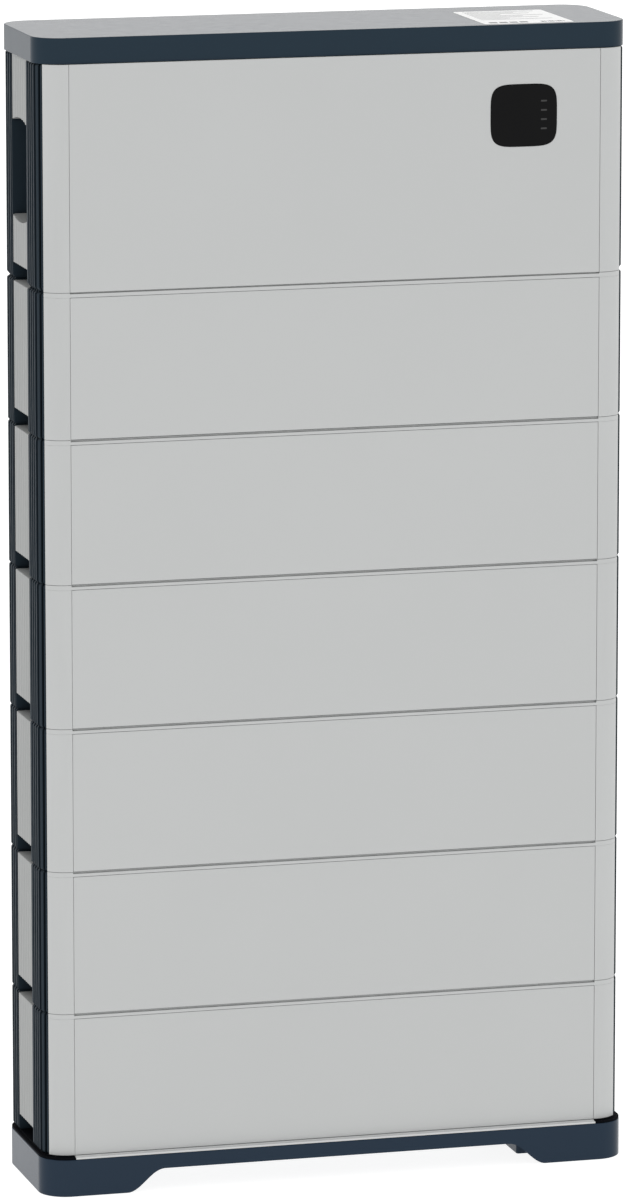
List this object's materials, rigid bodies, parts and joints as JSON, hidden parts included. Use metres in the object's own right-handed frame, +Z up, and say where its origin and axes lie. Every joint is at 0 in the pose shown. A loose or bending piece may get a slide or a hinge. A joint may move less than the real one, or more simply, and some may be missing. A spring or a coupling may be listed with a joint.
{
  "type": "wall battery unit",
  "caption": "Slim stacked home battery: grey modules with ribbed black sides and finger grips, a control unit with a display and side bay, slate cover and plinth.",
  "frame": {"origin": "centre of the bounding box at the floor, under the plinth", "axes": "+Z up the stack, -Y out of the front, +X to the right seen from the front"},
  "size_m": [0.653, 0.187, 1.2465],
  "materials": {
    "panel": "satin light grey powder coat",
    "housing": "fine-grained light grey moulding",
    "tray": "light grey moulding",
    "strip": "fluted light grey moulding",
    "end_cap": "ribbed black moulding",
    "slate": "slate blue-grey powder coat",
    "display": "glossy black window",
    "cell": "blue wrapped cell cans",
    "board": "green circuit board",
    "steel": "zinc-plated steel",
    "switch_gear": "dark grey moulding",
    "button": "light grey button"
  },
  "bodies": {
    "base": {"base_plinth": "slate", "base_tray": "tray", "base_surround": "end_cap"},
    "module_1": {"module_1_housing": "housing", "module_1_front_panel": "panel", "module_1_cell_pack": "cell", "module_1_left_end_cap": "end_cap", "module_1_right_end_cap": "end_cap", "module_1_left_strip": "strip", "module_1_right_strip": "strip"},
    "module_2": {"module_2_housing": "housing", "module_2_front_panel": "panel", "module_2_cell_pack": "cell", "module_2_left_end_cap": "end_cap", "module_2_right_end_cap": "end_cap", "module_2_left_strip": "strip", "module_2_right_strip": "strip"},
    "module_3": {"module_3_housing": "housing", "module_3_front_panel": "panel", "module_3_cell_pack": "cell", "module_3_left_end_cap": "end_cap", "module_3_right_end_cap": "end_cap", "module_3_left_strip": "strip", "module_3_right_strip": "strip"},
    "module_4": {"module_4_housing": "housing", "module_4_front_panel": "panel", "module_4_cell_pack": "cell", "module_4_left_end_cap": "end_cap", "module_4_right_end_cap": "end_cap", "module_4_left_strip": "strip", "module_4_right_strip": "strip"},
    "module_5": {"module_5_housing": "housing", "module_5_front_panel": "panel", "module_5_cell_pack": "cell", "module_5_left_end_cap": "end_cap", "module_5_right_end_cap": "end_cap", "module_5_left_strip": "strip", "module_5_right_strip": "strip"},
    "module_6": {"module_6_housing": "housing", "module_6_front_panel": "panel", "module_6_cell_pack": "cell", "module_6_left_end_cap": "end_cap", "module_6_right_end_cap": "end_cap", "module_6_left_strip": "strip", "module_6_right_strip": "strip"},
    "top_unit": {"top_unit_housing": "housing", "top_unit_front_panel": "panel", "display_window": "display", "control_board": "board", "top_unit_left_end_cap": "end_cap", "top_unit_left_upper_strip": "strip", "top_unit_left_lower_strip": "strip", "top_unit_right_end_cap": "end_cap", "top_unit_right_strip": "strip", "connector_panel": "switch_gear", "isolator_body": "switch_gear", "wall_bracket": "steel"},
    "power_button": {"power_button": "button"},
    "isolator_handle": {"isolator_handle": "switch_gear"},
    "top_cover": {"top_cover": "slate"}
  },
  "joints": [
    {"name": "lift_module_1", "type": "slide", "parent": "base", "child": "module_1", "axis": [0, 0, 1], "range_m": [0, 0.03]},
    {"name": "lift_module_2", "type": "slide", "parent": "module_1", "child": "module_2", "axis": [0, 0, 1], "range_m": [0, 0.03]},
    {"name": "lift_module_3", "type": "slide", "parent": "module_2", "child": "module_3", "axis": [0, 0, 1], "range_m": [0, 0.03]},
    {"name": "lift_module_4", "type": "slide", "parent": "module_3", "child": "module_4", "axis": [0, 0, 1], "range_m": [0, 0.03]},
    {"name": "lift_module_5", "type": "slide", "parent": "module_4", "child": "module_5", "axis": [0, 0, 1], "range_m": [0, 0.03]},
    {"name": "lift_module_6", "type": "slide", "parent": "module_5", "child": "module_6", "axis": [0, 0, 1], "range_m": [0, 0.03]},
    {"name": "lift_top_unit", "type": "slide", "parent": "module_6", "child": "top_unit", "axis": [0, 0, 1], "range_m": [0, 0.03]},
    {"name": "lift_top_cover", "type": "slide", "parent": "top_unit", "child": "top_cover", "axis": [0, 0, 1], "range_m": [0, 0.04]},
    {"name": "press_power_button", "type": "slide", "parent": "top_unit", "child": "power_button", "axis": [1, 0, 0], "range_m": [0, 0.003], "stiffness_N_per_m": 400},
    {"name": "turn_isolator", "type": "hinge", "parent": "top_unit", "child": "isolator_handle", "pos_m": [-0.2978, 0.00545, 1.096], "axis": [1, 0, 0], "range_deg": [0, 90]}
  ]
}
